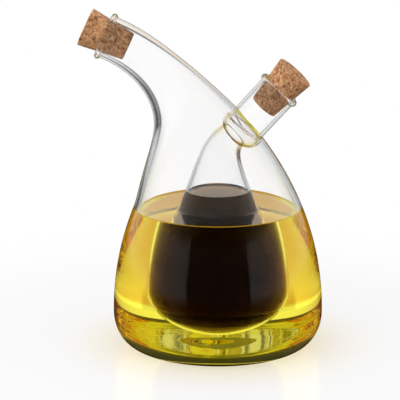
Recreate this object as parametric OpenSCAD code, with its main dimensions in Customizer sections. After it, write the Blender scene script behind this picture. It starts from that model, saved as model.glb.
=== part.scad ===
// Oil and vinegar cruet: a blown flask with a swan neck holds oil, and a smaller flask
// sealed inside it holds vinegar and comes out through the shoulder as a short spout.
// Millimetres, +Z up, origin at the centre of the base. The swan neck leans to -X.

/* [Outer flask] */
// Largest diameter of the body
body_d = 105; // [98:1:112]
// Height of the widest part of the body
belly_z = 16.5; // [14:0.5:19]
// Diameter of the flat that the flask stands on
foot_d = 82; // [74:1:86]
// Radius of the long curve of the side
side_r = 140; // [130:1:150]
// Lean of the side from upright where the shoulder begins
shoulder_deg = 22.5; // [21.5:0.25:24]
// Thickness of the side wall
wall = 2.1; // [1.6:0.1:2.6]
// Thickness of the base
base_t = 3; // [2.4:0.1:4]
// Diameter of the shallow hollow under the base
hollow_d = 62; // [40:1:70]
// Depth of the shallow hollow under the base
hollow_t = 0.8; // [0.4:0.1:1.4]

/* [Swan neck] */
// Distance of the mouth's centre from the body's axis
mouth_reach = 56.4; // [50:0.2:62]
// Height of the mouth's centre
mouth_z = 155.2; // [150:0.2:162]
// Rise of the neck at the mouth, from level
mouth_deg = 24.7; // [18:0.1:32]
// Outer diameter of the neck at the mouth
neck_d = 21.6; // [21:0.1:23]
// Bore of the neck at the mouth
neck_bore = 17.3; // [16.6:0.1:18]
// Length of the straight collar behind the mouth
collar_l = 6; // [5:0.5:10]
// Length of upright pull at the shoulder end of the neck's curve
shoulder_pull = 18.9; // [14:0.1:24]
// Length of straight pull at the mouth end of the neck's curve
mouth_pull = 20.6; // [14:0.1:26]
// Guide over the shoulder: x, z and radius of the ball that shapes the wall
shoulder_guide = [-7.5, 92.6, 33.2]; // [-60:0.1:120]
// Guide at the throat: x, z and radius of the ball
throat_guide = [-3.4, 107.4, 17.5]; // [-60:0.1:130]
// Guide in the bend: x, z and radius of the ball
bend_guide = [-16.5, 128.8, 10.9]; // [-60:0.1:150]
// How much thinner the blown wall is round the outside of the bend
bend_thinning = 1.1; // [0.4:0.1:1.2]

/* [Inner flask] */
// Largest diameter of the bulb
bulb_d = 50.8; // [46:0.2:53]
// Height of the widest part of the bulb
bulb_z = 26; // [24:0.2:29]
// Depth of the bulb below its widest part
bulb_drop = 18.6; // [16:0.2:20]
// Radius of the long curve of the bulb's side
bulb_side_r = 152; // [142:1:162]
// Lean of the bulb's side from upright where its neck begins
bulb_neck_deg = 20.8; // [20:0.2:21.6]
// Thickness of the inner flask's wall
inner_wall = 1.1; // [0.9:0.1:1.4]
// Diameter of the neck where it ends inside the knee
entry_d = 13.8; // [13:0.1:15]
// How much wider the neck is before its end
entry_taper = 2; // [0:0.1:3]
// Direction of the neck where it ends inside the knee, from level
entry_deg = 25; // [22:0.5:30]
// How far below the seal the neck ends inside the knee
entry_depth = 6; // [5.6:0.1:6.8]
// Length of upright pull at the bulb end of the neck's curve
neck_pull = 17; // [15:0.2:20]
// Length of straight pull at the knee end of the neck's curve
entry_pull = 13; // [9:0.1:14]

/* [Knee and spout] */
// Place of the seal along the neck's curve, from 0 at the shoulder to 1 at the mouth
seal_at = 0.363; // [0.34:0.001:0.385]
// Rise of the spout, from level
spout_deg = 48.4; // [44:0.2:52]
// Swing of the spout towards the front
spout_swing = 5; // [0:0.5:8]
// Length of the spout from the seal to its mouth
spout_l = 23.4; // [20:0.1:27]
// Outer diameter of the spout
spout_d = 19.8; // [19.4:0.1:20.6]
// Bore of the spout
spout_bore = 17.1; // [16.6:0.1:17.6]
// Diameter of the round knee inside the shoulder
knee_d = 22; // [21.6:0.1:23]
// Depth of the knee below the seal
knee_depth = 12.7; // [12:0.1:14]
// Depth of the knee's rounded end
knee_round = 7.3; // [6.5:0.1:8]
// Depth below the seal where the knee is widest
knee_shoulder = 4.5; // [4.2:0.1:5]

/* [Rolled lips] */
// Thickness of the rolled bead at each mouth
lip_t = 3; // [2.4:0.1:3.2]
// How far the bead stands out from the neck
lip_stand = 1.2; // [0.8:0.1:1.4]

/* [Corks] */
// Diameter of the cork's outer end
cork_big_d = 19.5; // [19:0.1:21]
// Diameter of the cork's inner end
cork_small_d = 14; // [13:0.1:15]
// Length of the cork
cork_l = 23.2; // [20:0.2:27]
// Softened edge of the cork's ends
cork_edge = 0.5; // [0.2:0.1:1]
// Gap between a cork and the rim that holds it
cork_gap = 0.05; // [0.03:0.01:0.08]

/* [Filling] */
// Height of the oil's surface
oil_z = 68.3; // [40:0.5:68.5]
// Height of the vinegar's surface
vinegar_z = 76.6; // [40:0.2:77]

/* [Hidden] */
$fn = 96;
// Steps of the outlines and of the swept necks
corner_steps = 10;
side_steps = 14;
bend_steps = 4;
neck_rings = 30;
neck_sides = 48;
throat_rings = 14;
throat_sides = 36;
// Length by which a bore runs on past a mouth
overrun = 1;
// How far a swept tube's end runs into its neighbour, how much it narrows there, and how far
// the tube's flats lie outside the true circle
tuck_l = 1;
tuck_in = 0.4;
seam = 0.03;
body_r = body_d / 2;
bulb_r = bulb_d / 2;
mouth_dir = [-cos(mouth_deg), sin(mouth_deg)];
glass = [0.86, 0.93, 0.93, 0.45];
cork_colour = [0.79, 0.56, 0.40];

// Point of a smooth curve through guide points, and its slope
function along(p, t) =
    len(p) == 1 ? p[0] : along([for (i = [0:len(p) - 2]) (1 - t) * p[i] + t * p[i + 1]], t);
function slope(p, t) =
    (len(p) - 1) * along([for (i = [0:len(p) - 2]) p[i + 1] - p[i]], t);

// Outline from the axis at the bottom, round the lower corner and up the side.
// flat is the radius of the flat bottom, round_h the height of the corner, and
// side the radius of the side's curve, which leans by lean at its upper end.
function flask_outline(r, mid_z, flat, round_h, side, lean) = concat(
    [[0, mid_z - round_h]],
    [for (i = [0:corner_steps]) let (a = 90 * i / corner_steps)
        [flat + (r - flat) * sin(a), mid_z - round_h * cos(a)]],
    [for (i = [1:side_steps]) let (a = lean * i / side_steps)
        [r - side * (1 - cos(a)), mid_z + side * sin(a)]],
    [[0, mid_z + side * sin(lean)]]
);

// Ball on the axis that touches the side of a flask where it leans by lean: x, z, radius
function side_ball(r, mid_z, side, lean) =
    [0, mid_z + (side - r) * tan(lean), side - (side - r) / cos(lean)];

// Circle in which a ball that moves along a path touches its wall: x, z, direction, radius
function ring(p, t) =
    let (b = along(p, t), s = slope(p, t), run = norm([s[0], s[1]]))
    let (dir = [s[0], s[1]] / run, growth = s[2] / run)
    [b[0] - b[2] * growth * dir[0], b[1] - b[2] * growth * dir[1], dir,
        b[2] * sqrt(1 - growth * growth)];

// Smaller circle beyond the end of a tube, where it is tucked into the piece that it meets
function tucked(g, side) =
    [g[0] + side * tuck_l * g[2][0], g[1] + side * tuck_l * g[2][1], g[2], g[3] - tuck_in];

// Corners of a circle's ring of flats, which lie just outside the circle
function corners(g, sides) =
    let (r = g[3] / cos(180 / sides) + seam)
    [for (k = [0:sides - 1]) let (a = 360 * k / sides)
        [g[0] + r * cos(a) * g[2][1], r * sin(a), g[1] - r * cos(a) * g[2][0]]];

// Closed tube swept by a ball along a path of guide points, with both ends tucked in
module swept(path, rings, sides) {
    circles = concat([tucked(ring(path, 0), -1)],
        [for (i = [0:rings]) ring(path, i / rings)],
        [tucked(ring(path, 1), 1)]);
    points = [for (g = circles) each corners(g, sides)];
    skin = [for (i = [0:rings + 1], k = [0:sides - 1]) let (n = (k + 1) % sides)
        [i * sides + k, (i + 1) * sides + k, (i + 1) * sides + n, i * sides + n]];
    first = [for (k = [0:sides - 1]) k];
    last = [for (k = [sides - 1:-1:0]) (rings + 2) * sides + k];
    polyhedron(points, concat([first], skin, [last]), convexity = 6);
}

// Path of the swan neck's outer wall, and of its cavity
neck_end = [-mouth_reach, mouth_z] - collar_l * mouth_dir;
neck_pull_end = neck_end - mouth_pull * mouth_dir;
shoulder_ball = side_ball(body_r, belly_z, side_r, shoulder_deg);
lift = [0, 1, -sin(shoulder_deg)];
neck_path = [
    shoulder_ball,
    shoulder_ball + shoulder_pull * lift,
    shoulder_guide,
    throat_guide,
    bend_guide,
    [neck_pull_end[0], neck_pull_end[1], neck_d / 2],
    [neck_end[0], neck_end[1], neck_d / 2]
];
thinner = bend_thinning / 2 * [cos(45), sin(45), 1];
neck_wall = (neck_d - neck_bore) / 2;
cavity_path = [
    neck_path[0] - [0, 0, wall],
    neck_path[1] - [0, 0, wall],
    neck_path[2] - [0, 0, wall] + thinner,
    neck_path[3] - [0, 0, wall] + thinner,
    neck_path[4] - [0, 0, wall] + thinner,
    neck_path[5] - [0, 0, neck_wall],
    neck_path[6] - [0, 0, neck_wall]
];

// Point of the shoulder's outside where the spout is sealed in
seal_ball = along(neck_path, seal_at);
seal_slope = slope(neck_path, seal_at);
seal_run = norm([seal_slope[0], seal_slope[1]]);
seal_dir = [seal_slope[0], seal_slope[1]] / seal_run;
seal_growth = seal_slope[2] / seal_run;
seal_flat = sqrt(1 - seal_growth * seal_growth);
seal_x = seal_ball[0] + seal_ball[2] * (seal_flat * seal_dir[1] - seal_growth * seal_dir[0]);
seal_z = seal_ball[1] - seal_ball[2] * (seal_flat * seal_dir[0] + seal_growth * seal_dir[1]);

// Path of the inner flask's neck, from its bulb into the knee
spout_dir = [cos(spout_deg), sin(spout_deg)];
entry_end = [seal_x, seal_z] - entry_depth * spout_dir;
entry_pull_end = entry_end - entry_pull * [cos(entry_deg), sin(entry_deg)];
bulb_ball = side_ball(bulb_r, bulb_z, bulb_side_r, bulb_neck_deg);
throat_path = [
    bulb_ball,
    bulb_ball + neck_pull * [0, 1, -sin(bulb_neck_deg)],
    [entry_pull_end[0], entry_pull_end[1], (entry_d + entry_taper) / 2],
    [entry_end[0], entry_end[1], entry_d / 2]
];
throat_cavity_path = [for (g = throat_path) g - [0, 0, inner_wall]];

module at_mouth() {
    translate([-mouth_reach, 0, mouth_z]) rotate([0, mouth_deg - 90, 0]) children();
}

module at_seal() {
    rotate([0, 0, -spout_swing]) translate([seal_x, 0, seal_z]) rotate([0, 90 - spout_deg, 0]) children();
}

// Outline of the rolled bead round a mouth, from the side of a tube of radius r over to the axis
function rim(r, top) =
    let (bead_r = r + lip_stand - lip_t / 2, start = acos(1 - 2 * lip_stand / lip_t))
    concat([for (i = [0:corner_steps]) let (a = -start + (90 + start) * i / corner_steps)
        [bead_r + lip_t / 2 * cos(a), top - lip_t / 2 + lip_t / 2 * sin(a)]], [[0, top]]);

module body_form() {
    rotate_extrude()
        polygon(flask_outline(body_r, belly_z, foot_d / 2, belly_z, side_r, shoulder_deg));
}

module body_cavity() {
    rotate_extrude()
        polygon(flask_outline(body_r - wall, belly_z, foot_d / 2, belly_z - base_t,
            side_r - wall, shoulder_deg));
}

module base_hollow() {
    rotate_extrude() polygon(concat([[0, -overrun]],
        [for (i = [0:corner_steps]) let (a = 90 * i / corner_steps)
            [hollow_d / 2 * cos(a), hollow_t * sin(a) - (i == 0 ? overrun : 0)]]));
}

module bulb_form() {
    rotate_extrude()
        polygon(flask_outline(bulb_r, bulb_z, 0, bulb_drop, bulb_side_r, bulb_neck_deg));
}

module bulb_cavity() {
    rotate_extrude()
        polygon(flask_outline(bulb_r - inner_wall, bulb_z, 0, bulb_drop - inner_wall,
            bulb_side_r - inner_wall, bulb_neck_deg));
}

// Straight collar of the swan neck with its rolled rim, about the mouth's axis
module collar() {
    rotate_extrude() polygon(concat([[0, -collar_l], [neck_d / 2, -collar_l]], rim(neck_d / 2, 0)));
}

// Outline of the round knee about the spout's axis, with the seal at height 0
function knee_outline(knee_r, tube_r, bottom, round_h) = concat(
    [for (i = [0:corner_steps]) let (a = 90 * i / corner_steps)
        [knee_r * sin(a), -bottom + round_h * (1 - cos(a))]],
    [for (i = [0:bend_steps]) let (a = 90 * i / bend_steps)
        [tube_r + (knee_r - tube_r) * cos(a), -knee_shoulder + (knee_r - tube_r) * sin(a)]]
);

module knee_outside() {
    rotate_extrude() polygon(concat(
        knee_outline(knee_d / 2, spout_d / 2, knee_depth, knee_round),
        rim(spout_d / 2, spout_l)));
}

module knee_inside() {
    mouth = spout_l + overrun;
    rotate_extrude() polygon(concat(
        knee_outline(knee_d / 2 - inner_wall, spout_bore / 2, knee_depth - inner_wall,
            knee_round - inner_wall),
        [[spout_bore / 2, mouth], [0, mouth]]));
}

// Tapered cork with its inner end down, placed so that it meets a rim of the given bore at height 0
module cork(bore) {
    grip = (bore / 2 - cork_gap - cork_small_d / 2) * cork_l / (cork_big_d / 2 - cork_small_d / 2);
    taper = (cork_big_d - cork_small_d) / 2 / cork_l;
    translate([0, 0, -grip]) rotate_extrude() polygon([
        [0, 0],
        [cork_small_d / 2 - cork_edge, 0],
        [cork_small_d / 2 + taper * cork_edge, cork_edge],
        [cork_big_d / 2 - taper * cork_edge, cork_l - cork_edge],
        [cork_big_d / 2 - cork_edge, cork_l],
        [0, cork_l]
    ]);
}

module outer_flask() {
    color(glass) difference() {
        union() {
            body_form();
            swept(neck_path, neck_rings, neck_sides);
            at_mouth() collar();
        }
        union() {
            body_cavity();
            swept(cavity_path, neck_rings, neck_sides);
            at_mouth() translate([0, 0, -collar_l]) cylinder(d = neck_bore, h = collar_l + overrun);
        }
        base_hollow();
        at_seal() knee_outside();
    }
}

module inner_flask() {
    color(glass) difference() {
        union() {
            bulb_form();
            rotate([0, 0, -spout_swing]) swept(throat_path, throat_rings, throat_sides);
            at_seal() knee_outside();
        }
        union() {
            bulb_cavity();
            rotate([0, 0, -spout_swing]) swept(throat_cavity_path, throat_rings, throat_sides);
            at_seal() knee_inside();
        }
    }
}

module oil() {
    color([0.91, 0.70, 0.10, 0.75]) difference() {
        intersection() {
            body_cavity();
            cylinder(r = body_r, h = oil_z);
        }
        bulb_form();
    }
}

module vinegar() {
    color([0.16, 0.07, 0.03]) intersection() {
        bulb_cavity();
        cylinder(r = body_r, h = vinegar_z);
    }
}

module oil_cork() {
    color(cork_colour) at_mouth() cork(neck_bore);
}

module vinegar_cork() {
    color(cork_colour) at_seal() translate([0, 0, spout_l]) cork(spout_bore);
}

outer_flask();
inner_flask();
oil();
vinegar();
oil_cork();
vinegar_cork();
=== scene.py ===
"""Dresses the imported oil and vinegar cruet: blown glass, oil, vinegar and corks."""

import math

import bpy
import numpy as np
from bpy.props import FloatProperty, FloatVectorProperty, IntProperty, PointerProperty
from mathutils import Matrix, Vector


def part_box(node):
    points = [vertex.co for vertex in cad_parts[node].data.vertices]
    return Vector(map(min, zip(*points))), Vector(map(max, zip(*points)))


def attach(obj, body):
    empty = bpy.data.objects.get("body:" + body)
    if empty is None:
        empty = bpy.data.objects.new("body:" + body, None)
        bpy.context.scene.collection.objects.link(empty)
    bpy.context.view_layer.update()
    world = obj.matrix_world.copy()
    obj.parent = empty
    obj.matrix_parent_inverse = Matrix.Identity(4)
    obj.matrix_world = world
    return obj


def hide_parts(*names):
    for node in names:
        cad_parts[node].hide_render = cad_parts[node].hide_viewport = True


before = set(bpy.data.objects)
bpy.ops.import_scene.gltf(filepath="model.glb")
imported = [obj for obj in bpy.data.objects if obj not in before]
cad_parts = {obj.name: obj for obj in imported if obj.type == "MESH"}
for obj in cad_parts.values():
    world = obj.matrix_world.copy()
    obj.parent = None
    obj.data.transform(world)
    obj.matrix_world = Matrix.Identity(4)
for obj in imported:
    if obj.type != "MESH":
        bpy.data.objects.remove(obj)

bl_info = {
    "name": "Oil and vinegar cruet",
    "version": (1, 0, 0),
    "blender": (4, 5, 0),
    "location": "View3D > Sidebar > Cruet",
    "description": "Makes the glass, liquids and corks of a two-in-one cruet",
    "category": "Add Mesh",
}

MM = 0.001
# Sides of a round form
SIDES = 128


# Settings


def plain(name, text, value, **more):
    return FloatProperty(name=name, description=text, default=value, **more)


def length(name, text, mm):
    return plain(name, text, mm * MM, unit="LENGTH", precision=5)


def lean(name, text, degrees):
    return plain(name, text, math.radians(degrees), subtype="ANGLE")


def share(name, text, value):
    return plain(name, text, value, min=0, max=1, subtype="FACTOR")


def colour(name, text, rgb):
    return FloatVectorProperty(
        name=name, description=text, default=rgb, min=0, max=1, size=3, subtype="COLOR"
    )


class OuterFlaskSizes(bpy.types.PropertyGroup):
    body_diameter: length("Body diameter", "Largest diameter of the body", 105)
    belly_height: length("Belly height", "Height of the widest part", 16.5)
    foot_diameter: length("Foot diameter", "Flat that the flask stands on", 82)
    side_radius: length("Side radius", "Long curve of the side", 140)
    shoulder_lean: lean("Shoulder lean", "Lean of the side where the shoulder begins", 22.5)
    wall: length("Wall", "Thickness of the side wall", 2.1)
    base: length("Base", "Thickness of the base", 3)
    hollow_diameter: length("Hollow diameter", "Shallow hollow under the base", 62)
    hollow_depth: length("Hollow depth", "Depth of the hollow under the base", 0.8)
    mouth_reach: length("Mouth reach", "Distance of the mouth from the axis", 56.4)
    mouth_height: length("Mouth height", "Height of the mouth's centre", 155.2)
    mouth_rise: lean("Mouth rise", "Rise of the neck at the mouth", 24.7)
    neck_diameter: length("Neck diameter", "Neck at the mouth", 21.6)
    neck_bore: length("Neck bore", "Bore at the mouth", 17.3)
    collar: length("Collar", "Straight length behind the mouth", 6)
    shoulder_pull: length("Shoulder pull", "Upright pull at the neck's foot", 18.9)
    mouth_pull: length("Mouth pull", "Straight pull at the neck's end", 20.6)
    bend_thinning: length("Bend thinning", "Thinner wall outside the bend", 1.1)
    lip_thickness: length("Lip thickness", "Rolled bead at each mouth", 3)
    lip_stand: length("Lip stand", "How far the bead stands out", 1.2)
    seal_lap: length("Seal lap", "Overlap of the two flasks at the seal", 0.25)


class InnerFlaskSizes(bpy.types.PropertyGroup):
    bulb_diameter: length("Bulb diameter", "Largest diameter of the bulb", 50.8)
    bulb_height: length("Bulb height", "Height of its widest part", 26)
    bulb_drop: length("Bulb drop", "Depth below the widest part", 18.6)
    side_radius: length("Side radius", "Long curve of the bulb's side", 152)
    neck_lean: lean("Neck lean", "Lean of the side where the neck begins", 20.8)
    wall: length("Wall", "Thickness of the wall", 1.1)
    entry_diameter: length("Entry diameter", "Neck where it ends in the knee", 13.8)
    entry_taper: length("Entry taper", "How much wider the neck is before its end", 2)
    entry_rise: lean("Entry rise", "Direction of the neck at the knee", 25)
    entry_depth: length("Entry depth", "Neck's end below the seal", 6)
    neck_pull: length("Neck pull", "Upright pull at the bulb", 17)
    entry_pull: length("Entry pull", "Straight pull at the knee", 13)
    seal_at: share("Seal place", "Place of the seal along the neck's curve", 0.363)
    spout_rise: lean("Spout rise", "Rise of the spout", 48.4)
    spout_swing: lean("Spout swing", "Swing of the spout to the front", 5)
    spout_length: length("Spout length", "From the seal to the mouth", 23.4)
    spout_diameter: length("Spout diameter", "Outer diameter of the spout", 19.8)
    spout_bore: length("Spout bore", "Bore of the spout", 17.1)
    knee_diameter: length("Knee diameter", "Round knee inside the shoulder", 22)
    knee_depth: length("Knee depth", "Depth of the knee below the seal", 12.7)
    knee_round: length("Knee round", "Depth of its rounded end", 7.3)
    knee_shoulder: length("Knee shoulder", "Depth where it is widest", 4.5)


class FillingSizes(bpy.types.PropertyGroup):
    oil_level: length("Oil level", "Height of the oil's surface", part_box("oil")[1][2] / MM)
    vinegar_level: length(
        "Vinegar level", "Height of the vinegar's surface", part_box("vinegar")[1][2] / MM
    )
    climb: length("Climb", "How far a liquid climbs the glass", 0.97)
    reach: length("Reach", "Width of the climbing edge", 2.4)
    bite: length("Bite", "How far a liquid laps into the glass", 0.02)
    oil_tint: colour("Oil tint", "Light that the oil lets through", (0.99, 0.95, 0.0))
    oil_depth: plain("Oil depth", "Strength of the oil's colour per metre", 30)
    vinegar_tint: colour("Vinegar tint", "Light that the vinegar lets through", (0.667, 0.6, 0.3))
    vinegar_depth: plain("Vinegar depth", "Strength of the vinegar's colour per metre", 330)


class CorkSizes(bpy.types.PropertyGroup):
    big_diameter: length("Outer end", "Diameter of the cork's outer end", 19.5)
    small_diameter: length("Inner end", "Diameter of the cork's inner end", 14)
    length: length("Length", "Length of the cork", 23.2)
    edge: length("Edge", "Softened edge of the ends", 0.5)
    gap: length("Gap", "Gap between the cork and its rim", 0.05)
    pit_depth: length("Pit depth", "Depth of the pits in the cork", 0.35)
    seed: IntProperty(name="Seed", description="Changes the places of the pits", default=4)
    light: colour("Light cork", "Palest cork", (0.85, 0.46, 0.22))
    tone: colour("Cork", "Main colour of the cork", (0.62, 0.27, 0.105))
    dark: colour("Dark cork", "Pits and streaks", (0.16, 0.065, 0.028))


class StageSettings(bpy.types.PropertyGroup):
    turn: lean("Turn", "Camera's turn round the cruet", 3)
    height: lean("Height", "Camera's height above level", 13.5)
    distance: length("Distance", "Camera's distance", 900)
    lens: plain("Lens", "Focal length in millimetres", 162.5)
    target: FloatVectorProperty(
        name="Target",
        description="Point in the picture's middle",
        default=(-0.009, 0, 0.07275),
        unit="LENGTH",
    )
    board: lean("Board", "Half width of the white board behind the cruet", 13)
    side_start: lean("Side start", "Where the soft boxes beside the cruet begin", 34)
    gap_light: share("Gap light", "Light in the gaps beside the board", 0.12)
    ceiling_light: share("Ceiling light", "Light from high above, before and beside", 0.18)
    dark_light: share("Dark light", "Light from above the board behind the cruet", 0.05)
    front_light: share("Front light", "Light from beside and before the cruet", 0.7)
    shade_light: share("Shade light", "Light on the shaded sides of the corks", 0.3)
    room_light: share("Room light", "Light on the camera's side, in reflections", 0.1)
    warm: colour("Warm light", "Light from behind that a surface reflects", (1.0, 0.84, 0.66))
    # Painted light on the floor: a cream glow at the cruet's foot, and gold shadow where the floor
    # is seen through the cruet
    cream: colour("Cream glow", "Floor's glow at the foot of the cruet", (1.0, 0.91, 0.72))
    near_gold_shadow: colour("Near gold", "Floor at the cruet, seen through it", (0.6, 0.31, 0.05))
    pale_gold: colour("Pale gold", "Floor between the golds, seen through it", (0.92, 0.76, 0.6))
    far_gold_shadow: colour("Far gold", "Floor behind the cruet, seen through it", (0.67, 0.34, 0.04))
    floor_tone: share("Floor tone", "Paleness of the floor", 0.3)
    floor_glow: share("Floor glow", "White that the floor adds for the eye", 0.7)


# Shader and tree helpers


class Wire:
    """A node's output that can be used in sums."""

    def __init__(self, maker, socket):
        self.maker, self.socket = maker, socket

    def __add__(self, other):
        return self.maker.calc("ADD", self, other)

    def __radd__(self, other):
        return self.maker.calc("ADD", other, self)

    def __sub__(self, other):
        return self.maker.calc("SUBTRACT", self, other)

    def __rsub__(self, other):
        return self.maker.calc("SUBTRACT", other, self)

    def __mul__(self, other):
        return self.maker.calc("MULTIPLY", self, other)

    def __rmul__(self, other):
        return self.maker.calc("MULTIPLY", other, self)

    def __truediv__(self, other):
        return self.maker.calc("DIVIDE", self, other)

    def __rtruediv__(self, other):
        return self.maker.calc("DIVIDE", other, self)

    def floor(self):
        return self.maker.calc("FLOOR", self)

    def between(self, low, high, at_low=0.0, at_high=1.0):
        """Smooth step from at_low to at_high."""
        sockets = {"Value": self, "From Min": low, "From Max": high}
        sockets |= {"To Min": at_low, "To Max": at_high}
        settings = {"interpolation_type": "SMOOTHSTEP"}
        return self.maker.node("ShaderNodeMapRange", sockets, settings)


class Maker:
    """Adds nodes to one tree."""

    def __init__(self, tree):
        self.tree = tree
        tree.nodes.clear()

    def node(self, kind, sockets=None, settings=None, out=0):
        """A new node with its inputs and settings; gives back one of its outputs."""
        made = self.tree.nodes.new(kind)
        for name, value in (settings or {}).items():
            setattr(made, name, value)
        for name, value in (sockets or {}).items():
            socket = made.inputs[name]
            if isinstance(value, Wire):
                self.tree.links.new(value.socket, socket)
            elif socket.type == "RGBA" and len(value) == 3:
                socket.default_value = (*value, 1)
            else:
                socket.default_value = value
        return Wire(self, made.outputs[out]) if len(made.outputs) else None

    def outputs(self, kind, names, sockets=None):
        """Several outputs of one new node."""
        made = self.node(kind, sockets).socket.node
        return [Wire(self, made.outputs[name]) for name in names]

    def calc(self, operation, *values):
        return self.node("ShaderNodeMath", dict(enumerate(values)), {"operation": operation})

    def vector(self, operation, *values, out=0):
        settings = {"operation": operation}
        return self.node("ShaderNodeVectorMath", dict(enumerate(values)), settings, out)

    def scaled(self, vector, factor):
        sockets = {"Vector": vector, "Scale": factor}
        return self.node("ShaderNodeVectorMath", sockets, {"operation": "SCALE"})

    def mix(self, factor, a, b):
        """Mix of two colours."""
        return self.node("ShaderNodeMix", {0: factor, 6: a, 7: b}, {"data_type": "RGBA"}, 2)

    def noise(self, place, scale, detail, roughness=0.5, out=0):
        sockets = {"Vector": place, "Scale": scale, "Detail": detail, "Roughness": roughness}
        return self.node("ShaderNodeTexNoise", sockets, out=out)


def material(name):
    """A new material, with its maker and its object coordinates."""
    made = bpy.data.materials.new(name)
    made.use_nodes = True
    maker = Maker(made.node_tree)
    return made, maker, maker.node("ShaderNodeTexCoord", out="Object")


# Finishes


WHITE = (1, 1, 1)
# How much each clear stuff bends light
GLASS_BEND = 1.47
OIL_BEND = 1.47
VINEGAR_BEND = 1.42
# Share of its reflection that the glass keeps
GLASS_MIRROR = 0.45
# Painted shade on the glass's edges, amber below the oil, golden round the knee, grey elsewhere:
# where each begins and is full, from straight on to the edge, and its colour
OIL_EDGE_SHADE = (0.3, 0.62, (0.87, 0.77, 0.45))
GLASS_EDGE_SHADE = (0.45, 0.92, (0.48, 0.52, 0.55))
KNEE_EDGE_SHADE = (0.25, 0.8, (0.8, 0.68, 0.16))
# Distances from the knee over which its painted golden edge shade fades
KNEE_REACH = (9 * MM, 15 * MM)
# Half the height over which the painted edge shade changes at the oil's level
LEVEL_SOFT = 0.5 * MM
# The glass's waves: number per metre and height
WAVES, WAVE_HEIGHT = 55.0, 0.12 * MM
# The cork's sway, grains, clouds, streaks and fine roughness: number per metre of each
CORK_SWAY, CORK_GRAIN, CORK_CLOUD, CORK_STREAK, CORK_FINE = 420.0, 900.0, 200.0, 800.0, 2400.0
CORK_SWAY_REACH, CORK_RELIEF = 1.6 * MM, 0.3 * MM


def painted_edge_shade(maker, facing, start, full, tint):
    """White where the glass is seen straight on, with painted shade towards its edges."""
    return maker.mix(facing.between(start, full), WHITE, tint)


def glass_finish(name, bend, oil_level=None, knee=None):
    """Clear glass with the faint waves of hand blowing; bend is set against what it touches.

    Its edges have painted shade: amber below the oil's level, golden round the knee, grey
    elsewhere.
    """
    made = bpy.data.materials.get(name)
    if made:
        return made
    made, maker, place = material(name)
    wave = maker.noise(place, WAVES, 1.0, 0.4)
    sockets = {"Height": wave, "Strength": 0.25, "Distance": WAVE_HEIGHT}
    relief = maker.node("ShaderNodeBump", sockets)
    tone = WHITE
    # Painted shade: the glass darkens towards its edges, as they are seen more sideways
    if oil_level:
        (facing,) = maker.outputs("ShaderNodeLayerWeight", ["Facing"], {"Blend": 0.5})
        (height,) = maker.outputs("ShaderNodeSeparateXYZ", ["Z"], {"Vector": place})
        above = height.between(oil_level - LEVEL_SOFT, oil_level + LEVEL_SOFT)
        grey = painted_edge_shade(maker, facing, *GLASS_EDGE_SHADE)
        if knee:
            away = maker.vector("DISTANCE", place, knee, out="Value")
            near = away.between(*KNEE_REACH, 1.0, 0.0)
            grey = maker.mix(near, grey, painted_edge_shade(maker, facing, *KNEE_EDGE_SHADE))
        tone = maker.mix(above, painted_edge_shade(maker, facing, *OIL_EDGE_SHADE), grey)
    sockets = {"Base Color": tone, "Roughness": 0.0, "IOR": bend, "Normal": relief}
    sockets |= {"Specular Tint": (GLASS_MIRROR,) * 3, "Transmission Weight": 1.0}
    surface = maker.node("ShaderNodeBsdfPrincipled", sockets)
    maker.node("ShaderNodeOutputMaterial", {"Surface": surface})
    return made


def glass_finishes(dry, oil_level, knee=None):
    """Dry glass, glass wet by oil and glass wet by vinegar."""
    return (
        glass_finish(dry, GLASS_BEND, oil_level, knee),
        glass_finish("glass_in_oil", GLASS_BEND / OIL_BEND),
        glass_finish("glass_in_vinegar", GLASS_BEND / VINEGAR_BEND),
    )


def liquid_finish(name, tint, depth, bend):
    """Clear liquid that colours light by the length of its way.

    Only its free surface, zone 1, bends light. Where it wets the glass, the glass does that.
    """
    made, maker, _ = material(name)
    clear = {"Base Color": WHITE, "Roughness": 0.0, "Transmission Weight": 1.0}
    wet, free = (
        maker.node("ShaderNodeBsdfPrincipled", clear | {"IOR": value}) for value in (1.0, bend)
    )
    zone = maker.node("ShaderNodeAttribute", settings={"attribute_name": "zone"}, out="Fac")
    surface = maker.node("ShaderNodeMixShader", {0: zone, 1: wet, 2: free})
    inside = maker.node("ShaderNodeVolumeAbsorption", {"Color": tint, "Density": depth})
    maker.node("ShaderNodeOutputMaterial", {"Surface": surface, "Volume": inside})
    return made


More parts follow.
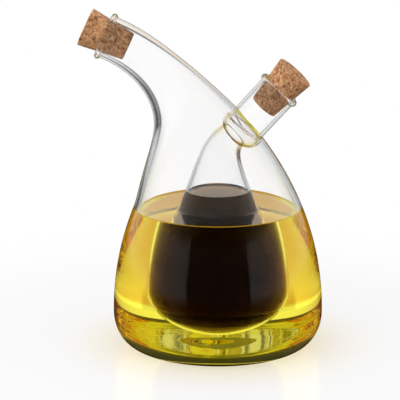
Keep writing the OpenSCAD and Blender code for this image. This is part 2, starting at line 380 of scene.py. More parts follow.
def cork_finish(name, sizes):
    """Natural cork: mottled grains, pale flecks, and dark pits and streaks."""
    made, maker, place = material(name)
    tone, light = tuple(sizes.tone), tuple(sizes.light)
    sway = maker.noise(place, CORK_SWAY, 2.0, out="Color")
    moved = maker.vector("MULTIPLY_ADD", sway, (CORK_SWAY_REACH,) * 3, place)
    cells = {"Vector": moved, "Scale": CORK_GRAIN}
    grains = maker.node("ShaderNodeTexVoronoi", cells, out="Color")
    grain = maker.node("ShaderNodeSeparateColor", {"Color": grains})
    cloud = maker.noise(place, CORK_CLOUD, 4.0, 0.65)
    stretch = {"Vector": moved, "Scale": (1.0, 1.0, 0.6)}
    streak = maker.noise(maker.node("ShaderNodeMapping", stretch), CORK_STREAK, 3.0, 0.65)
    fine = maker.noise(place, CORK_FINE, 2.0)
    mottled = maker.mix(grain.between(0.1, 0.9), tone, light)
    clouded = maker.mix(cloud.between(0.45, 0.68, 0, 0.65), mottled, tuple(c * 0.5 for c in tone))
    flecks = (1 - streak.between(0.32, 0.42)) * 0.8
    pale = maker.mix(flecks, clouded, tuple(min(1, c * 1.25) for c in light))
    pits = streak.between(0.54, 0.64)
    final = maker.mix(pits * 0.8, pale, tuple(sizes.dark))
    height = grain * 0.25 + fine * 0.25 - pits
    sockets = {"Height": height, "Strength": 0.7, "Distance": CORK_RELIEF}
    relief = maker.node("ShaderNodeBump", sockets)
    rough = cloud.between(0, 1, 0.72, 0.9)
    sockets = {"Base Color": final, "Roughness": rough, "Normal": relief}
    surface = maker.node("ShaderNodeBsdfPrincipled", sockets)
    maker.node("ShaderNodeOutputMaterial", {"Surface": surface})
    return made


# Forms


# Kinds of finish that one form can have
ZONES = 3
# Points nearer than this become one, in metres
WELD = 3e-7
# Angle from which an edge is crisp
CREASE = math.radians(34)
# Steps of a flask's floor, corner and side, of a rim, of the knee and of the base's hollow
FLOOR_STEPS, CORNER_STEPS, SIDE_STEPS = 6, 22, 44
RIM_STEPS, KNEE_STEPS, HOLLOW_STEPS = 12, 24, 12
# Inner rounding of a rolled rim and reach of its root down the tube, in millimetres
RIM_SOFT, RIM_ROOT = 0.45, 0.4


def along(guides, t):
    """Point of the smooth curve through guide points."""
    p = np.array(guides, float)
    while len(p) > 1:
        p = (1 - t) * p[:-1] + t * p[1:]
    return p[0]


def slope(guides, t):
    """Rate of change of that point with t."""
    p = np.array(guides, float)
    return (len(p) - 1) * along(p[1:] - p[:-1], t)


def touching_circle(guides, t):
    """Circle in which a ball that moves along the guides touches its wall.

    It is given by its centre's x and z, its direction's x and z, and its radius.
    """
    ball, rate = along(guides, t), slope(guides, t)
    run = math.hypot(rate[0], rate[1])
    dx, dz, growth = rate[0] / run, rate[1] / run, rate[2] / run
    shift = ball[2] * growth
    radius = ball[2] * math.sqrt(1 - growth * growth)
    return (ball[0] - shift * dx, ball[1] - shift * dz, dx, dz, radius)


def swept(guides, count):
    """Circles of the wall of a tube along the guides."""
    return [touching_circle(guides, i / count) for i in range(count + 1)]


def about(profile, origin=(0, 0), direction=(0, 1)):
    """Circles about an axis from a profile of radius and height."""
    (x, z), (dx, dz) = origin, direction
    return [(x + dx * h, z + dz * h, dx, dz, r) for r, h in profile]


def arc(centre_r, centre_h, radius_r, radius_h, start, end, count):
    """Profile points of an ellipse's arc, by the angle from level in degrees."""
    angles = [math.radians(start + (end - start) * i / count) for i in range(count + 1)]
    return [
        (centre_r + radius_r * math.cos(a), centre_h + radius_h * math.sin(a)) for a in angles
    ]


def flask_profile(radius, middle, flat, drop, side, lean_angle):
    """From the axis at the bottom, round the corner and up the side."""
    bottom = middle - drop
    corner = arc(flat, middle, radius - flat, drop, -90, 0, CORNER_STEPS)
    if flat:
        floor = [(flat * i / FLOOR_STEPS, bottom) for i in range(FLOOR_STEPS)]
    else:
        floor, corner = [(0, bottom)], corner[1:]
    rise = arc(radius - side, middle, side, side, 0, math.degrees(lean_angle), SIDE_STEPS)
    return floor + corner + rise[1:]


def neck_start(diameter, middle, side, lean_angle, pull):
    """First two guides of a neck that goes on where a flask's side leans by the angle."""
    inner = side - diameter / 2
    foot = np.array([0, middle + inner * math.tan(lean_angle), side - inner / math.cos(lean_angle)])
    return [foot, foot + pull * np.array([0, 1, -math.sin(lean_angle)])]


def bead(radius, bore, top, thickness, stand):
    """Profile of a rolled rim, from the outside over into the bore."""
    half = thickness / 2
    centre = radius + stand - half
    start = math.degrees(math.acos(1 - stand / half))
    outside = arc(centre, top - half, half, half, -start, 90, RIM_STEPS)
    soft = min(RIM_SOFT, (centre - bore) / 2)
    inside = arc(bore + soft, top - soft, -soft, soft, 90, 0, RIM_STEPS // 2)
    root = top - half - math.sqrt(half * half - (radius - centre) ** 2) - RIM_ROOT
    return [(radius, root)] + outside + inside


def new_tree(name, inputs, output):
    """A geometry node tree with its sockets, its maker and its inputs by name."""
    tree = bpy.data.node_groups.new(name, "GeometryNodeTree")
    for label, kind, *value in inputs:
        socket = tree.interface.new_socket(label, in_out="INPUT", socket_type="NodeSocket" + kind)
        if value:
            socket.default_value = value[0]
    tree.interface.new_socket(output, in_out="OUTPUT", socket_type="NodeSocketGeometry")
    maker = Maker(tree)
    start = maker.node("NodeGroupInput").socket.node
    return tree, maker, {socket.name: Wire(maker, socket) for socket in start.outputs}


def ring_tree():
    """Node tree that skins a row of circles: each point of the input holds one circle."""
    inputs = [("Circles", "Geometry"), ("Sides", "Int", SIDES)]
    inputs += [(f"Finish {number}", "Material") for number in range(ZONES)]
    tree, maker, given = new_tree("Turned form", inputs, "Form")
    circles, side_count = given["Circles"], given["Sides"]
    columns = side_count + 1
    rows = maker.node(
        "GeometryNodeAttributeDomainSize", {"Geometry": circles}, {"component": "MESH"}
    )
    sockets = {"Vertices X": rows, "Vertices Y": columns}
    grid = maker.node("GeometryNodeMeshGrid", sockets, out="Mesh")
    index = maker.node("GeometryNodeInputIndex")
    row = (index / columns).floor()
    angle = (index - row * columns) * math.tau / side_count

    def stored(name, kind):
        return maker.node("GeometryNodeInputNamedAttribute", {"Name": name}, {"data_type": kind})

    def read(value, kind="FLOAT_VECTOR", at=row):
        settings = {"data_type": kind, "domain": "POINT"}
        sockets = {"Geometry": circles, "Value": value, "Index": at}
        return maker.node("GeometryNodeSampleIndex", sockets, settings)

    across = maker.scaled(read(stored("across", "FLOAT_VECTOR")), maker.calc("COSINE", angle))
    deep = maker.scaled(read(stored("deep", "FLOAT_VECTOR")), maker.calc("SINE", angle))
    centre = read(maker.node("GeometryNodeInputPosition"))
    spot = maker.vector("ADD", centre, maker.vector("ADD", across, deep))
    placed = maker.node("GeometryNodeSetPosition", {"Geometry": grid, "Position": spot})
    zone = stored("zone", "FLOAT")
    strip_zone = read(zone, "FLOAT", (index / side_count).floor())
    marked = maker.node(
        "GeometryNodeStoreNamedAttribute",
        {"Geometry": placed, "Name": "zone", "Value": strip_zone},
        {"data_type": "FLOAT", "domain": "FACE"},
    )
    closed = maker.node("GeometryNodeMergeByDistance", {"Geometry": marked, "Distance": WELD})
    turned = maker.node("GeometryNodeFlipFaces", {"Mesh": closed})
    smooth = maker.node("GeometryNodeSetShadeSmooth", {"Geometry": turned})
    coated = maker.node("GeometryNodeRealizeInstances", {"Geometry": smooth})
    for number in range(ZONES):
        sockets = {
            "Geometry": coated,
            "Selection": maker.calc("COMPARE", zone, number, 0.5),
            "Material": given[f"Finish {number}"],
        }
        coated = maker.node("GeometryNodeSetMaterial", sockets)
    maker.node("NodeGroupOutput", {"Form": coated})
    return tree


def pit_tree():
    """Node tree that sinks pits and channels into a cork's skin."""
    inputs = [("Cork", "Geometry"), ("Pit depth", "Float", 0.3 * MM)]
    inputs += [("Pits per metre", "Float", 520.0), ("Seed", "Float"), ("Finish", "Material")]
    tree, maker, given = new_tree("Cork pits", inputs, "Pitted cork")
    noise = maker.node(
        "ShaderNodeTexNoise",
        {"W": given["Seed"], "Scale": given["Pits per metre"], "Detail": 2.0, "Roughness": 0.6},
        {"noise_dimensions": "4D"},
    )
    sink = noise.between(0.57, 0.68) * given["Pit depth"] * -1
    offset = maker.scaled(maker.node("GeometryNodeInputNormal"), sink)
    pitted = maker.node("GeometryNodeSetPosition", {"Geometry": given["Cork"], "Offset": offset})
    real = maker.node("GeometryNodeRealizeInstances", {"Geometry": pitted})
    coated = maker.node("GeometryNodeSetMaterial", {"Geometry": real, "Material": given["Finish"]})
    maker.node("NodeGroupOutput", {"Pitted cork": coated})
    return tree


def tree_named(name, build):
    """The node tree of that name, built when it is first needed."""
    return bpy.data.node_groups.get(name) or build()


def settled(obj):
    """The object's evaluated mesh in place of its own, with no modifiers left."""
    bpy.context.view_layer.update()
    mesh = bpy.data.meshes.new_from_object(obj.evaluated_get(bpy.context.evaluated_depsgraph_get()))
    old = obj.data
    obj.modifiers.clear()
    obj.data = mesh
    bpy.data.meshes.remove(old)
    mesh.name = obj.name
    return obj


def grown(obj, tree, **values):
    """Runs a node tree on an object and keeps the result as a plain mesh."""
    step = obj.modifiers.new(tree.name, "NODES")
    step.node_group = tree
    for item in tree.interface.items_tree:
        key = item.name.replace(" ", "_").lower()
        if item.item_type == "SOCKET" and item.in_out == "INPUT" and key in values:
            step[item.identifier] = values[key]
    return settled(obj)


def added(name, data):
    """A new object in the scene."""
    obj = bpy.data.objects.new(name, data)
    bpy.context.scene.collection.objects.link(obj)
    return obj


def skinned(name, circles, finishes, swing=0.0, sides=SIDES):
    """Closed form through circles given in millimetres, turned about the upright axis by swing.

    A circle's sixth value is the zone of the strip that begins there. Each zone has its own
    finish, or all have the only one.
    """
    turn = np.array(Matrix.Rotation(-swing, 3, "Z"))
    c = np.array([(*circle, 0)[:6] for circle in circles], float) * [MM, MM, 1, 1, MM, 1]
    none = np.zeros(len(c))
    centres = np.stack([c[:, 0], none, c[:, 1]], 1) @ turn.T
    across = np.stack([c[:, 3] * c[:, 4], none, -c[:, 2] * c[:, 4]], 1) @ turn.T
    deep = np.stack([none, c[:, 4], none], 1) @ turn.T
    mesh = bpy.data.meshes.new(name)
    mesh.from_pydata(centres.tolist(), [], [])
    for key, values in (("across", across), ("deep", deep)):
        stored = mesh.attributes.new(key, "FLOAT_VECTOR", "POINT")
        stored.data.foreach_set("vector", values.ravel())
    mesh.attributes.new("zone", "FLOAT", "POINT").data.foreach_set("value", c[:, 5])
    obj = added(name, mesh)
    coats = {f"finish_{zone}": finishes[zone % len(finishes)] for zone in range(ZONES)}
    grown(obj, tree_named("Turned form", ring_tree), sides=sides, **coats)
    if obj.data.materials[0] is None:
        obj.data.materials.pop(index=0)
    if volume(obj.data) <= 0:
        raise RuntimeError(f"{name} is inside out")
    return obj


def volume(mesh):
    """Signed volume of a closed mesh."""
    mesh.calc_loop_triangles()
    points = np.empty(len(mesh.vertices) * 3)
    mesh.vertices.foreach_get("co", points)
    corners = np.empty(len(mesh.loop_triangles) * 3, int)
    mesh.loop_triangles.foreach_get("vertices", corners)
    a, b, c = points.reshape(-1, 3)[corners.reshape(-1, 3)].transpose(1, 0, 2)
    return float(np.einsum("ij,ij->i", a, np.cross(b, c)).sum() / 6)


def combined(obj, other, operation):
    """Joins or cuts one closed form with another, which is used up."""
    step = obj.modifiers.new(operation, "BOOLEAN")
    step.operation, step.solver, step.object = operation, "EXACT", other
    step.material_mode = "TRANSFER"
    settled(obj)
    bpy.data.objects.remove(other)
    return obj


def creased(obj):
    """Smooth shading with crisp creases."""
    obj.data.shade_smooth()
    obj.data.set_sharp_from_angle(angle=CREASE)
    return obj


def finished(obj, body, node):
    """Ties a piece to its body, and puts it in the place of a node of the frame."""
    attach(obj, body)
    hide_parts(node)


# The cruet's own curves


# Guides of the swan neck's bend: x, z and radius in millimetres
BEND_GUIDES = ((-7.5, 92.6, 33.2), (-3.4, 107.4, 17.5), (-16.5, 128.8, 10.9))
# Rings along the swan neck and along the inner flask's neck
NECK_RINGS, THROAT_RINGS = 100, 40
# Steps of a liquid's climbing edge, and how its width and its height run
CLIMB_STEPS, CLIMB_SPREAD, CLIMB_FALL = 10, 1.5, 2.6


def in_mm(group):
    """A settings group as plain numbers, with lengths in millimetres."""
    return {
        name: getattr(group, name) / (MM if prop.unit == "LENGTH" else 1)
        for name, prop in group.bl_rna.properties.items()
        if prop.type == "FLOAT" and not prop.is_array
    }


def both_flasks(scene):
    """The sizes of the outer and the inner flask."""
    return in_mm(scene.outer_flask), in_mm(scene.inner_flask)


def swan_neck(o):
    """Guides of the neck's outside and cavity, and the mouth's centre and direction."""
    out = np.array([-math.cos(o["mouth_rise"]), math.sin(o["mouth_rise"])])
    mouth = np.array([-o["mouth_reach"], o["mouth_height"]])
    end = mouth - o["collar"] * out
    pull = end - o["mouth_pull"] * out
    keys = ("body_diameter", "belly_height", "side_radius", "shoulder_lean", "shoulder_pull")
    outside = neck_start(*(o[key] for key in keys))
    outside += [np.array(guide) for guide in BEND_GUIDES]
    outside += [np.array([*place, o["neck_diameter"] / 2]) for place in (pull, end)]
    slant = math.sqrt(0.5)
    thin = o["bend_thinning"] / 2 * np.array([slant, slant, 1])
    thick = np.array([0, 0, o["wall"]])
    end_thick = np.array([0, 0, (o["neck_diameter"] - o["neck_bore"]) / 2])
    cavity = [g - thick for g in outside[:2]] + [g - thick + thin for g in outside[2:5]]
    cavity += [g - end_thick for g in outside[5:]]
    return outside, cavity, mouth, out


def seal_point(o, i):
    """Place where the spout leaves the shoulder, and the spout's direction."""
    x, z, dx, dz, r = touching_circle(swan_neck(o)[0], i["seal_at"])
    way = np.array([math.cos(i["spout_rise"]), math.sin(i["spout_rise"])])
    return np.array([x + r * dz, z - r * dx]), way


def knee_profile(i, wall, bore_r):
    """Rounded end, wide part and the step into the straight spout."""
    wide, depth = i["knee_diameter"] / 2 - wall, i["knee_depth"] - wall
    round_h = i["knee_round"] - wall
    step = wide - bore_r
    end = arc(0, round_h - depth, wide, round_h, -90, 0, KNEE_STEPS)
    return end + arc(bore_r, -i["knee_shoulder"], step, step, 0, 90, KNEE_STEPS // 3)


def inner_neck(i, seal, out, inset):
    """Guides of the inner flask's neck, from the bulb into the knee."""
    keys = ("bulb_diameter", "bulb_height", "side_radius", "neck_lean", "neck_pull")
    guides = neck_start(*(i[key] for key in keys))
    entry = np.array([math.cos(i["entry_rise"]), math.sin(i["entry_rise"])])
    end = seal - i["entry_depth"] * out
    pull = end - i["entry_pull"] * entry
    end_r = i["entry_diameter"] / 2
    guides += [np.array([*pull, end_r + i["entry_taper"] / 2]), np.array([*end, end_r])]
    return [g - np.array([0, 0, inset]) for g in guides]


def bulb_profile(i, inset):
    """Profile of the bulb, set inwards from its outside."""
    radius, drop = i["bulb_diameter"] / 2 - inset, i["bulb_drop"] - inset
    side = i["side_radius"] - inset
    return flask_profile(radius, i["bulb_height"], 0, drop, side, i["neck_lean"])


def body_profile(o, inset, floor_inset, further=0.0):
    """Profile of the body, set inwards from its outside, and carried further up the shoulder."""
    radius, drop = o["body_diameter"] / 2 - inset, o["belly_height"] - floor_inset
    side, flat = o["side_radius"] - inset, o["foot_diameter"] / 2
    return flask_profile(radius, o["belly_height"], flat, drop, side, o["shoulder_lean"] + further)


def up_to(profile, level):
    """The part of a rising profile below a level, ended at the level."""
    kept = [p for p in profile if p[1] < level - 1e-6]
    (r0, h0), (r1, h1) = kept[-1], profile[len(kept)]
    return kept + [(r0 + (r1 - r0) * (level - h0) / (h1 - h0), level)]


def wetted(profile, level, zone):
    """Circles of a rising profile about the upright axis, with those below a level in a zone."""
    low = up_to(profile, level)
    return zoned(about(low[:-1]), zone) + about([low[-1]] + profile[len(low) - 1 :])


def zoned(circles, zone):
    """The same circles, all in one zone."""
    return [(*circle[:5], zone) for circle in circles]


def climbing(wall_r, level, climb, reach, side):
    """Profile of a liquid's edge that climbs the glass: side is -1 towards the axis, else 1."""
    shares = [k / CLIMB_STEPS for k in range(CLIMB_STEPS + 1)]
    return [
        (wall_r + side * reach * t**CLIMB_SPREAD, level + climb * (1 - t) ** CLIMB_FALL)
        for t in shares
    ]


# Pieces


# How far the forms that cut the seal's hole and the spout's mouth go past them, in millimetres
PLUG_TOP, OVERRUN = 12, 1
# Depth of the middle of the knee's painted golden edge shade, as a share of the knee's depth
KNEE_SHADE_DEPTH = 0.7
# How much further the oil's side follows the shoulder
EXTRA_LEAN = math.radians(2)
# Steps across a liquid's level surface
LEVEL_STEPS = 8
# Steps of a cork's inner end, side and outer end, and its sides
INNER_END_STEPS, CORK_STEPS, OUTER_END_STEPS, CORK_SIDES = 24, 72, 28, 160


class CRUET_OT_outer_flask(bpy.types.Operator):
    """Blows the outer flask with its swan neck, rolled lip and hollow base"""

    bl_idname = "cruet.outer_flask"
    bl_label = "Outer flask"

    def execute(self, context):
        o, i = both_flasks(context.scene)
        outside, cavity, mouth, out = swan_neck(o)
        under = arc(0, 0, o["hollow_diameter"] / 2, o["hollow_depth"], 90, 0, HOLLOW_STEPS)
        shell = about(under + body_profile(o, 0, 0)[FLOOR_STEPS:])
        neck_r, bore_r = o["neck_diameter"] / 2, o["neck_bore"] / 2
        rim = bead(neck_r, bore_r, 0, o["lip_thickness"], o["lip_stand"])
        rim += [(bore_r, -o["collar"] * k / 4) for k in (1, 2, 3)]
        shell += swept(outside, NECK_RINGS)[1:] + about(rim, mouth, out)
        shell += swept(cavity, NECK_RINGS)[::-1][:-1]
        shell += zoned(about(body_profile(o, o["wall"], o["base"])[::-1]), 1)
        finishes = glass_finishes("blown_glass", context.scene.filling.oil_level)
        flask = skinned("outer_flask_glass", shell, finishes)
        seal, way = seal_point(o, i)
        hole_r = i["spout_diameter"] / 2 - o["seal_lap"]
        plug = knee_profile(i, o["seal_lap"], hole_r) + [(hole_r, PLUG_TOP), (0, PLUG_TOP)]
        hole = skinned("seal hole", about(plug, seal, way), finishes, i["spout_swing"])
        combined(flask, hole, "DIFFERENCE")
        finished(creased(flask), "flask", "outer_flask")
        return {"FINISHED"}


class CRUET_OT_inner_flask(bpy.types.Operator):
    """Blows the inner flask with its bulb, bent neck, knee, spout and rolled lip"""

    bl_idname = "cruet.inner_flask"
    bl_label = "Inner flask"

    def execute(self, context):
        o, i = both_flasks(context.scene)
        f, oil_level = in_mm(context.scene.filling), context.scene.filling.oil_level
        seal, way = seal_point(o, i)
        swing, wall = i["spout_swing"], i["wall"]
        # Middle of the knee's painted golden edge shade
        x, z = (seal - KNEE_SHADE_DEPTH * i["knee_depth"] * way) * MM
        knee = (x * math.cos(swing), -x * math.sin(swing), z)
        finishes = glass_finishes("blown_glass_inside", oil_level, knee)

        def bulb(name, inset, level, zone):
            guides = inner_neck(i, seal, way, inset)
            circles = wetted(bulb_profile(i, inset), level + f["climb"], zone)
            circles += swept(guides, THROAT_RINGS)[1:] + [(*touching_circle(guides, 1)[:4], 0)]
            return skinned(name, circles, finishes, swing)

        spout_r, bore_r, tall = i["spout_diameter"] / 2, i["spout_bore"] / 2, i["spout_length"]
        rim = bead(spout_r, bore_r, tall, o["lip_thickness"], o["lip_stand"])
        spout = knee_profile(i, 0, spout_r) + rim + [(0, rim[-1][1])]
        hollow = knee_profile(i, wall, bore_r) + [(bore_r, tall + OVERRUN), (0, tall + OVERRUN)]
        flask = skinned("inner_flask_glass", about(spout, seal, way), finishes, swing)
        combined(flask, bulb("bulb outside", 0, f["oil_level"], 1), "UNION")
        inside = skinned("spout hollow", about(hollow, seal, way), finishes, swing)
        combined(inside, bulb("bulb hollow", wall, f["vinegar_level"], 2), "UNION")
        combined(flask, inside, "DIFFERENCE")
        finished(creased(flask), "flask", "inner_flask")
        return {"FINISHED"}


class CRUET_OT_oil(bpy.types.Operator):
    """Fills the space round the inner flask with oil"""

    bl_idname = "cruet.oil"
    bl_label = "Oil"

    def execute(self, context):
        o, i = both_flasks(context.scene)
        f, fill = in_mm(context.scene.filling), context.scene.filling
        bite, climb, reach, height = f["bite"], f["climb"], f["reach"], f["oil_level"]
        wall = body_profile(o, o["wall"] - bite, o["base"] - bite, EXTRA_LEAN)
        outer = up_to(wall, height + climb)
        inner = up_to(bulb_profile(i, bite), height + climb)
        edge = climbing(outer[-1][0], height, climb, reach, -1)
        ring = climbing(inner[-1][0], height, climb, reach, 1)
        start, gap = edge[-1][0], ring[-1][0] - edge[-1][0]
        level = [(start + gap * k / LEVEL_STEPS, height) for k in range(1, LEVEL_STEPS)]
        finish = liquid_finish("olive_oil", fill.oil_tint, fill.oil_depth, OIL_BEND)
        top = zoned(about(edge + level + ring[:0:-1]), 1)
        circles = about(outer[:-1]) + top + about(inner[::-1])
        finished(skinned("oil_body", circles, [finish]), "flask", "oil")
        return {"FINISHED"}


class CRUET_OT_vinegar(bpy.types.Operator):
    """Fills the inner flask with vinegar"""

    bl_idname = "cruet.vinegar"
    bl_label = "Vinegar"

    def execute(self, context):
        i, fill = in_mm(context.scene.inner_flask), context.scene.filling
        f = in_mm(fill)
        climb, height = f["climb"], f["vinegar_level"]
        side = up_to(bulb_profile(i, i["wall"] - f["bite"]), height + climb)
        edge = climbing(side[-1][0], height, climb, f["reach"], -1)
        start, steps = edge[-1][0], range(1, LEVEL_STEPS + 1)
        level = [(start * (1 - k / LEVEL_STEPS), height) for k in steps]
        tint, depth = fill.vinegar_tint, fill.vinegar_depth
        finish = liquid_finish("dark_vinegar", tint, depth, VINEGAR_BEND)
        circles = about(side[:-1]) + zoned(about(edge + level), 1)
        finished(skinned("vinegar_body", circles, [finish]), "flask", "vinegar")
        return {"FINISHED"}


class CRUET_OT_corks(bpy.types.Operator):
    """Cuts the two tapered corks"""

    bl_idname = "cruet.corks"
    bl_label = "Corks"

    def execute(self, context):
        o, i = both_flasks(context.scene)
        look = context.scene.cork
        c = in_mm(look)
        big, small = c["big_diameter"] / 2, c["small_diameter"] / 2
        tall, edge = c["length"], c["edge"]
        seal, way = seal_point(o, i)
        mouth, out = swan_neck(o)[2:]
        spout_mouth = seal + i["spout_length"] * way
        spots = (
            ("oil_cork", mouth, out, o["neck_bore"] / 2, 0.0),
            ("vinegar_cork", spout_mouth, way, i["spout_bore"] / 2, i["spout_swing"]),
        )
        profile = [((small - edge) * k / INNER_END_STEPS, 0) for k in range(INNER_END_STEPS)]
        profile += arc(small - edge, edge, edge, edge, -90, 0, 4)
        shares = [k / CORK_STEPS for k in range(2, CORK_STEPS - 1)]
        profile += [(small + (big - small) * t, tall * t) for t in shares]
        profile += arc(big - edge, tall - edge, edge, edge, 0, 90, 4)
        shares = [1 - k / OUTER_END_STEPS for k in range(1, OUTER_END_STEPS + 1)]
        profile += [((big - edge) * t, tall) for t in shares]
        finish = cork_finish("natural_cork", look)
        for number, (node, rim, direction, bore, swing) in enumerate(spots):
            grip = (bore - c["gap"] - small) * tall / (big - small)
            circles = about([(r, h - grip) for r, h in profile], rim, direction)
            cork = skinned(node + "_body", circles, [finish], swing, CORK_SIDES)
            pits, seed = tree_named("Cork pits", pit_tree), float(look.seed + number)
            grown(cork, pits, pit_depth=look.pit_depth, seed=seed, finish=finish)
            finished(cork, node, node)
        return {"FINISHED"}


# Stage


# Where lights begin and end, as angles off the direction straight behind the cruet
BOARD_SOFT, BOX_SOFT = math.radians(4), math.radians(3)
BEHIND = (math.radians(50), math.radians(70))
STRAIGHT_BEHIND = (math.radians(20), math.radians(28))
# Where they begin and end in height, as the upward part of their direction
GAPS_TOP, BOARD_TOP, HIGH_LIGHT = (-0.15, -0.1), (0.12, 0.16), (0.58, 0.75)
BOXES_BOTTOM, BOXES_TOP = (-0.1, 0.0), (0.3, 0.42)
WARM_BOTTOM, WARM_TOP = (0.05, 0.15), (0.4, 0.6)
# Light from under the boxes, as a share of theirs
UNDER_LIGHT = 0.1
# Reflected light beside the board, as a share of the board's
BESIDE_LIFT = 0.6
# Darkest and lightest direction on matt things, as its upward less its rightward part
SHADE = (-1.2, 1.0)
# Radii of the floor's painted cream glow and painted gold shadow, and of its fading rim, in metres
CREAM_OUT, NEAR_OUT = (0.04, 0.085), (0.045, 0.065)
FAR_IN, FAR_OUT, RIM = (0.076, 0.098), (0.1, 0.12), (0.12, 0.25)
# Radii of the floor's rings of faces, and the faces in each
FLOOR_RADII, FLOOR_SIDES = (0.03, 0.06, 0.1, 0.15, 0.2, 0.26), 96
# How far the floor lies under the cruet
FLOOR_DROP = 0.05 * MM
# Turns that light may take in the glass
BOUNCES = 200


def off_behind(maker, x, y, stage):
    """Angle between a direction and the one straight behind the cruet."""
    angle = maker.calc("ARCTAN2", y, x)
    turned = (angle - (math.pi / 2 + stage.turn)) * (1 / math.tau) + 0.5
    return maker.calc("ABSOLUTE", maker.calc("FRACT", turned) - 0.5) * math.tau


def round_light(maker, off, z, bounced, stage):
    """Light that comes through the glass, by its direction.

    A white board stands behind the cruet, with dim gaps beside its foot and darkness above it,
    which draw dark edges on clear glass. From the sides and the front the light is softer. Light
    that was reflected on its way finds the darkness above the board lifted.
    """
    board = off.between(stage.board, stage.board + BOARD_SOFT, 1.0, stage.gap_light)
    beside = off.between(stage.side_start - 2 * BOARD_SOFT, 2.4 * stage.side_start)
    wall = maker.calc("MAXIMUM", board, maker.calc("MAXIMUM", beside, z.between(*GAPS_TOP)))
    low = z.between(*BOARD_TOP, 1.0, stage.dark_light)
    lifted = off.between(*STRAIGHT_BEHIND, 1.0, BESIDE_LIFT)
    low = low + bounced * (lifted - low)
    high = z.between(*HIGH_LIGHT, stage.front_light, stage.ceiling_light)
    return wall * (high + off.between(*BEHIND, 1.0, 0.0) * (low - high))


def mirrored_light(maker, off, z, stage):
    """Light that the glass's outside mirrors: soft boxes beside it, dim behind and before it."""
    front_start = math.pi - stage.side_start
    front = off.between(front_start - BOX_SOFT, front_start, 1.0, stage.room_light)
    behind = off.between(stage.side_start - BOX_SOFT, stage.side_start, stage.gap_light, 1.0)
    boxes = maker.calc("MINIMUM", front, behind) * z.between(*BOXES_TOP, 1.0, stage.ceiling_light)
    return boxes * z.between(*BOXES_BOTTOM, UNDER_LIGHT, 1.0)


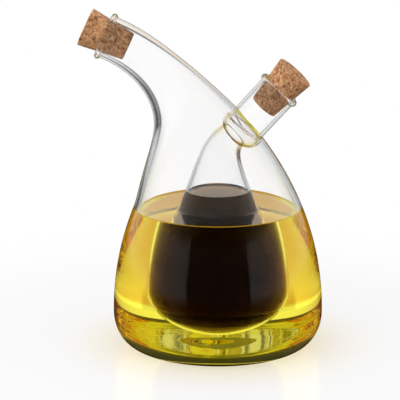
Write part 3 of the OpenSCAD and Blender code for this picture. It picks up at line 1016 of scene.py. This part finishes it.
class CRUET_OT_stage(bpy.types.Operator):
    """Sets the pale floor, the soft light and the camera"""

    bl_idname = "cruet.stage"
    bl_label = "Stage"

    def execute(self, context):
        scene, stage = context.scene, context.scene.stage
        scene.view_settings.view_transform = "Standard"
        for kind in ("max_bounces", "transmission_bounces", "glossy_bounces"):
            setattr(scene.cycles, kind, BOUNCES)
        self.world(scene, stage)
        self.floor(stage)
        self.lamp("key", (-0.7, -0.6, 0.9), 2)
        self.lamp("fill", (0.8, -0.4, 0.6), 0.6)
        self.camera(scene, stage)
        return {"FINISHED"}

    def world(self, scene, stage):
        """White round the cruet, with boards and boxes that only the glass shows."""
        world = bpy.data.worlds.new("white studio")
        scene.world = world
        world.use_nodes = True
        maker = Maker(world.node_tree)
        way = maker.node("ShaderNodeTexCoord", out="Generated")
        x, y, z = maker.outputs("ShaderNodeSeparateXYZ", ["X", "Y", "Z"], {"Vector": way})
        through, glossy, turns, scatters = maker.outputs(
            "ShaderNodeLightPath",
            ["Is Transmission Ray", "Is Glossy Ray", "Glossy Depth", "Diffuse Depth"],
        )
        bounced, scattered = turns.between(0, 1), scatters.between(0, 1)
        off = off_behind(maker, x, y, stage)
        boards = round_light(maker, off, z, bounced, stage)
        mirrored = glossy * (1 - through)
        plain_white = 1 - through - mirrored
        tone = through * boards + mirrored * mirrored_light(maker, off, z, stage) + plain_white
        shade = (z - x).between(*SHADE, stage.shade_light, 1.0)
        tone = tone + scattered * (shade - tone)
        warmed = bounced * z.between(*WARM_BOTTOM) * z.between(*WARM_TOP, 1.0, 0.0)
        warmed = warmed * off.between(*STRAIGHT_BEHIND, 1.0, 0.0)
        tint = maker.mix(warmed * through, WHITE, tuple(stage.warm))
        tint = maker.mix(scattered, tint, WHITE)
        light = maker.node("ShaderNodeBackground", {"Color": tint, "Strength": tone})
        maker.node("ShaderNodeOutputWorld", {"Surface": light})

    def floor(self, stage):
        """Round pale floor whose rim fades into the white.

        For the eye it glows white, with a painted cream glow of light at the cruet's foot; light
        that went through the cruet finds painted gold shadow on it. The glass's outside does not
        mirror it.
        """
        finish, maker, place = material("pale floor")
        out = maker.vector("LENGTH", place, out="Value")
        camera, glossy, through = maker.outputs(
            "ShaderNodeLightPath", ["Is Camera Ray", "Is Glossy Ray", "Is Transmission Ray"]
        )
        near, pale, far, cream = (
            tuple(c) for c in (stage.near_gold_shadow, stage.pale_gold, stage.far_gold_shadow, stage.cream)
        )
        # Painted gold shadow for light that went through the cruet, and a painted cream glow for
        # the eye
        gold = maker.mix(out.between(*NEAR_OUT), near, pale)
        gold = maker.mix(out.between(*FAR_IN), gold, far)
        gold = maker.mix(out.between(*FAR_OUT), gold, WHITE)
        glow_tint = maker.mix(through, maker.mix(out.between(*CREAM_OUT), cream, WHITE), gold)
        sockets = {"Color": glow_tint, "Strength": (camera + through) * stage.floor_glow}
        glow = maker.node("ShaderNodeEmission", sockets)
        sockets = {"Base Color": (stage.floor_tone,) * 3, "Roughness": 0.15, "IOR": 1.4}
        matt = maker.node("ShaderNodeBsdfPrincipled", sockets)
        lit = maker.node("ShaderNodeAddShader", {0: matt, 1: glow})
        clear = maker.node("ShaderNodeBsdfTransparent")
        fade = out.between(*RIM)
        hidden = fade + glossy * (1 - through) * (1 - fade)
        surface = maker.node("ShaderNodeMixShader", {0: hidden, 1: lit, 2: clear})
        maker.node("ShaderNodeOutputMaterial", {"Surface": surface})
        turns = np.linspace(0, math.tau, FLOOR_SIDES, False)
        points = [(0, 0, 0)]
        points += [(r * math.cos(a), r * math.sin(a), 0) for r in FLOOR_RADII for a in turns]
        faces = [(0, 1 + k, 1 + (k + 1) % FLOOR_SIDES) for k in range(FLOOR_SIDES)]
        for ring in range(len(FLOOR_RADII) - 1):
            first = 1 + ring * FLOOR_SIDES
            for k in range(FLOOR_SIDES):
                a, b = first + k, first + (k + 1) % FLOOR_SIDES
                faces.append((a, a + FLOOR_SIDES, b + FLOOR_SIDES, b))
        mesh = bpy.data.meshes.new("floor")
        mesh.from_pydata(points, [], faces)
        mesh.materials.append(finish)
        floor = added("floor", mesh)
        floor.location.z = -FLOOR_DROP

    def lamp(self, name, place, watts):
        """Large soft lamp that faces the cruet and is not seen itself."""
        lamp = added(name, bpy.data.lights.new(name, "AREA"))
        lamp.data.size, lamp.data.energy = 0.7, watts
        lamp.location = place
        lamp.rotation_euler = Vector(place).to_track_quat("Z", "Y").to_euler()
        lamp.visible_camera = lamp.visible_glossy = lamp.visible_transmission = False

    def camera(self, scene, stage):
        """Camera at the photo's angle."""
        camera = added("camera", bpy.data.cameras.new("camera"))
        scene.camera = camera
        turn, rise, away = stage.turn, stage.height, stage.distance
        level = math.cos(rise) * away
        back = (math.sin(turn) * level, -math.cos(turn) * level, math.sin(rise) * away)
        camera.location = [t + b for t, b in zip(stage.target, back)]
        camera.rotation_euler = (math.pi / 2 - rise, 0, turn)
        camera.data.lens = stage.lens


class CRUET_PT_panel(bpy.types.Panel):
    """Lists the cruet's pieces"""

    bl_idname = "CRUET_PT_panel"
    bl_label = "Cruet"
    bl_space_type = "VIEW_3D"
    bl_region_type = "UI"
    bl_category = "Cruet"

    def draw(self, context):
        for group, (_, pieces) in GROUPS.items():
            box = self.layout.box()
            box.label(text=group.replace("_", " ").capitalize())
            settings = getattr(context.scene, group)
            for name in settings.__annotations__:
                box.prop(settings, name)
            for piece in pieces:
                box.operator("cruet." + piece)


# The groups of settings, each with its class and the operators that it serves
GROUPS = {
    "outer_flask": (OuterFlaskSizes, ["outer_flask"]),
    "inner_flask": (InnerFlaskSizes, ["inner_flask"]),
    "filling": (FillingSizes, ["oil", "vinegar"]),
    "cork": (CorkSizes, ["corks"]),
    "stage": (StageSettings, ["stage"]),
}
CLASSES = (
    *(kind for kind, _ in GROUPS.values()),
    CRUET_OT_outer_flask,
    CRUET_OT_inner_flask,
    CRUET_OT_oil,
    CRUET_OT_vinegar,
    CRUET_OT_corks,
    CRUET_OT_stage,
    CRUET_PT_panel,
)


def register():
    for item in CLASSES:
        bpy.utils.register_class(item)
    for name, (kind, _) in GROUPS.items():
        setattr(bpy.types.Scene, name, PointerProperty(type=kind))


def unregister():
    for name in GROUPS:
        delattr(bpy.types.Scene, name)
    for item in reversed(CLASSES):
        bpy.utils.unregister_class(item)


def main():
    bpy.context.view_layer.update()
    register()
    for _, pieces in GROUPS.values():
        for piece in pieces:
            getattr(bpy.ops.cruet, piece)()


if __name__ == "__main__":
    main()
